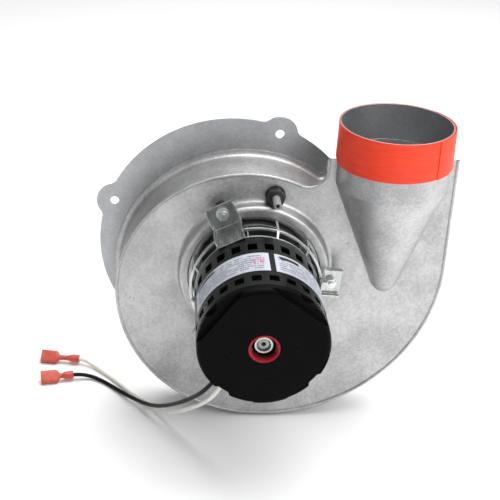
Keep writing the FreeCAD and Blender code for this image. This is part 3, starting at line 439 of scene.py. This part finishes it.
# ---------------------------------------------------------------- mesh helpers
SMOOTH_ANGLE = math.radians(40)


def loft(sections):
    """Vertices and faces through rings of equal size, in order, with a cap at each end."""
    size, last = len(sections[0]), len(sections) - 1
    verts = [tuple(v) for ring in sections for v in ring]
    faces = []
    for i in range(last):
        a, b = i * size, (i + 1) * size
        for j in range(size):
            k = (j + 1) % size
            faces.append((a + j, a + k, b + k, b + j))
    faces.append(tuple(range(size))[::-1])
    faces.append(tuple(last * size + j for j in range(size)))
    return verts, faces


def make_piece(name, sections, slot):
    """Lofted piece that rides on the housing."""
    verts, faces = loft(sections)
    data = bpy.data.meshes.new(name)
    data.from_pydata(verts, [], faces)
    data.validate()
    obj = bpy.data.objects.new(name, data)
    bpy.context.collection.objects.link(obj)
    data.polygons.foreach_set("use_smooth", [True] * len(data.polygons))
    data.set_sharp_from_angle(angle=SMOOTH_ANGLE)
    paint(obj, slot)
    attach(obj, "housing")
    return obj


# ---------------------------------------------------------------- rolled rim of the front plate
# Arcs of the plate's outline, in mm from the shaft axis: centre x, z, radius, start and end angle.
# The last one ends where the saddle between scroll and neck begins.
VOLUTE = [(10.0, 2.0, 125.5, 0, -90), (10.0, -17.3, 106.2, -90, -180),
          (-6.3, -17.3, 89.9, 180, None)]
NECK_LEFT, NECK_RIGHT, NECK_TOP, SADDLE_R = 46.4, 135.5, 84.0, 11.0
RIM_INSET, RIM_FRONT = 0.95, 39.25
RIM_HALF_WIDTH, RIM_HALF_DEPTH = 1.12, 1.15
PLATE_FACE = 39.4


def rim_path(inset):
    """(x, z) of the plate's rim in mm from the shaft axis, and the inward direction."""
    cx = NECK_LEFT - SADDLE_R
    last_x, last_z, last_r = VOLUTE[-1][:3]
    cz = last_z + math.sqrt((last_r + SADDLE_R) ** 2 - (cx - last_x) ** 2)
    last = math.degrees(math.atan2(cz - last_z, cx - last_x))
    path = [((NECK_RIGHT - inset, z), (-1.0, 0.0)) for z in (NECK_TOP, 62.0, 42.0, 22.0)]
    for x, z, radius, start, end in VOLUTE:
        end = last if end is None else end
        count = max(8, int(abs(end - start) / 2.5))
        for i in range(count + 1):
            turn = math.radians(start + (end - start) * i / count)
            c, s = math.cos(turn), math.sin(turn)
            path.append(((x + (radius - inset) * c, z + (radius - inset) * s), (-c, -s)))
    for i in range(1, 19):
        turn = math.radians(last - 180 + (180 - last) * i / 18)
        c, s = math.cos(turn), math.sin(turn)
        path.append(((cx + (SADDLE_R + inset) * c, cz + (SADDLE_R + inset) * s), (c, s)))
    path += [((NECK_LEFT + inset, z), (1.0, 0.0)) for z in (77.5, 81.0, NECK_TOP)]
    return path


def rolled_rim():
    sections = []
    for (x, z), (nx, nz) in rim_path(RIM_INSET):
        ring = []
        for k in range(12):
            turn = 2 * math.pi * k / 12
            across, out = RIM_HALF_WIDTH * math.cos(turn), RIM_HALF_DEPTH * math.sin(turn)
            ring.append(Vector(((x + nx * across) * MM + AXIS_X, -(RIM_FRONT + out) * MM,
                                (z + nz * across) * MM + AXIS_Z)))
        sections.append(ring)
    make_piece("rolled_rim", sections, "galvanised")


rolled_rim()


def dome(name, place, radius, height, slot):
    """Small rivet head on the front plate; place is (x, z) in mm from the shaft axis."""
    profile = [(radius, 0.0), (radius, 0.12), (radius * 0.92, height * 0.5), (radius * 0.66, height * 0.85),
               (radius * 0.3, height)]
    turns = [k * math.pi / 10 for k in range(20)]
    sections = [[Vector(((place[0] + r * math.cos(turn)) * MM + AXIS_X, -(PLATE_FACE + h) * MM,
                         (place[1] + r * math.sin(turn)) * MM + AXIS_Z)) for turn in turns]
                for r, h in profile]
    make_piece(name, sections, slot)


dome("plate_rivet", (-84.8, -23.9), 1.7, 0.9, "zinc_bright")


# ---------------------------------------------------------------- wrapped band
def wrapped_band():
    """Strip wound once round the collar, its outer end lapped over at the front right."""
    inner_end, turn, lap, blend = 32.0, 360.0, 86.0, 14.0  # degrees
    inner_r, thick, gap, lift = 37.78, 0.55, 0.05, 0.3
    top, low_front, low_back, plate_front = 109.8, 83.1, 84.7, 41.0
    steps = 170
    sections = []
    for i in range(steps + 1):
        s = (turn + lap) * i / steps
        angle = math.radians(inner_end - s)
        radius = inner_r
        if s > turn - blend:
            rise = min(1.0, (s - turn + blend) / blend)
            radius += (thick + gap) * (rise * rise * (3 - 2 * rise))
            over = max(0.0, (s - turn + 6) / (lap + 6))
            radius += lift * math.sin(math.pi * min(1.0, over)) ** 2
        c, q = math.cos(angle), math.sin(angle)
        depth = -(OUTLET_Y / MM + radius * q)
        slack = 0.35 + 0.3 * math.sin(angle * 2.0 + 0.6)
        low = low_back if depth < plate_front else low_front
        low_z, top_z = low * MM + AXIS_Z, top * MM + AXIS_Z + 0.0001
        ring = []
        for r, z in ((radius + slack, low_z), (radius, top_z), (radius + thick, top_z),
                     (radius + thick + slack, low_z)):
            ring.append(Vector((OUTLET_X + r * MM * c, OUTLET_Y + r * MM * q, z)))
        sections.append(ring)
    band = make_piece("wrapped_band", sections, "band_orange")
    bevel(band, 0.00018)
    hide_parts("outlet_band")


wrapped_band()


# ---------------------------------------------------------------- insulated receptacles
def superellipse(half_y, half_z, power, count=36):
    ring = []
    for k in range(count):
        turn = 2 * math.pi * k / count
        c, s = math.cos(turn), math.sin(turn)
        ring.append((half_y * math.copysign(abs(c) ** (2 / power), c),
                     half_z * math.copysign(abs(s) ** (2 / power), s)))
    return ring


def receptacle(colour):
    """Nylon sleeve: round barrel with a bell mouth, tapered neck, flat open end."""
    neck = TERMINAL_NECKS[colour]
    flat = 4.0 + neck
    profile = [  # along the lead's line (mm), half width, half height, squareness
        (-3.3, 2.3, 2.3, 2.0), (-3.5, 2.7, 2.7, 2.0), (-3.2, 3.05, 3.05, 2.0), (-1.5, 3.1, 3.05, 2.0),
        (2.2, 3.0, 2.95, 2.0), (3.5, 2.85, 2.75, 2.0), (4.2, 2.35, 2.3, 2.0),
        (4.0 + neck * 0.3, 2.0, 2.0, 2.0), (4.0 + neck * 0.7, 1.95, 2.0, 2.1),
        (flat - 0.1, 2.15, 2.05, 2.4), (flat + 0.8, 3.4, 2.2, 3.0),
        (flat + 1.6, 4.45, 2.4, 3.8), (flat + 2.4, 4.9, 2.52, 4.4), (flat + 3.4, 5.0, 2.58, 4.8),
        (flat + 8.5, 4.97, 2.55, 4.8), (flat + 13.9, 5.0, 2.58, 4.8), (flat + 14.35, 4.93, 2.5, 4.6),
        (flat + 14.5, 4.75, 2.3, 4.4), (flat + 14.4, 4.3, 1.85, 5.0), (flat + 13.8, 4.15, 1.72, 5.0),
        (flat + 8.0, 4.12, 1.7, 5.0), (flat + 1.45, 4.08, 1.68, 5.0),
    ]
    origin = lead_points(colour)[-1]
    turn = (Matrix.Rotation(math.radians(TERMINAL_ANGLES[colour]), 4, "Z")
            @ Matrix.Rotation(math.radians(TERMINAL_ROLL), 4, "X"))
    sections = [[Matrix.Translation(origin) @ turn @ Vector((x * MM, y * MM, z * MM))
                 for y, z in superellipse(half_y, half_z, power)] for x, half_y, half_z, power in profile]
    sleeve = make_piece("nylon_sleeve_" + colour, sections, "terminal_salmon")
    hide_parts("terminal_sleeve_" + colour)
    return sleeve


for lead_colour, lead in leads.items():
    sleeve = receptacle(lead_colour)


# ---------------------------------------------------------------- floor and light
def make_floor():
    half = 3.0
    data = bpy.data.meshes.new("floor")
    data.from_pydata([(-half, -half, FLOOR_Z), (half, -half, FLOOR_Z), (half, half, FLOOR_Z),
                      (-half, half, FLOOR_Z)], [], [(0, 1, 2, 3)])
    floor = bpy.data.objects.new("floor", data)
    bpy.context.collection.objects.link(floor)
    m = Material("floor", Roughness=0.6)
    m.set("Base Color", m.mix(m.noise(3.0), grey(0.88), grey(0.92)))
    data.materials.append(m.mat)


def area_light(name, place, aim, size, power):
    data = bpy.data.lights.new(name, "AREA")
    data.shape = "RECTANGLE"
    data.size, data.size_y = size
    data.energy = power
    light = bpy.data.objects.new(name, data)
    light.location = place
    light.rotation_euler = (Vector(aim) - Vector(place)).to_track_quat("-Z", "Y").to_euler()
    bpy.context.collection.objects.link(light)


def make_world():
    """Pale studio surroundings, darker on the far left."""
    world = bpy.data.worlds.new("studio")
    bpy.context.scene.world = world
    world.use_nodes = True
    tree = world.node_tree
    back = tree.nodes["Background"]
    where = tree.nodes.new("ShaderNodeTexCoord")
    split = tree.nodes.new("ShaderNodeSeparateXYZ")
    ramp = tree.nodes.new("ShaderNodeMapRange")
    for key, value in (("From Min", -0.85), ("From Max", -0.1), ("To Min", 0.05), ("To Max", 0.5)):
        ramp.inputs[key].default_value = value
    tree.links.new(where.outputs["Generated"], split.inputs["Vector"])
    tree.links.new(split.outputs["X"], ramp.inputs["Value"])
    tree.links.new(ramp.outputs["Result"], back.inputs["Strength"])
    back.inputs["Color"].default_value = (1.0, 1.0, 1.0, 1.0)


make_floor()
make_world()
area_light("key", (0.62, -0.62, 0.5), (0.04, 0, 0), (0.6, 0.6), 4.4)
area_light("fill", (-0.75, -0.55, 0.75), (0.05, 0, 0), (0.8, 0.8), 1.6)
area_light("top", (0.3, 0.15, 1.3), (0.0, -0.05, -0.1), (1.7, 1.5), 33.0)
bpy.context.scene.view_settings.view_transform = "Standard"
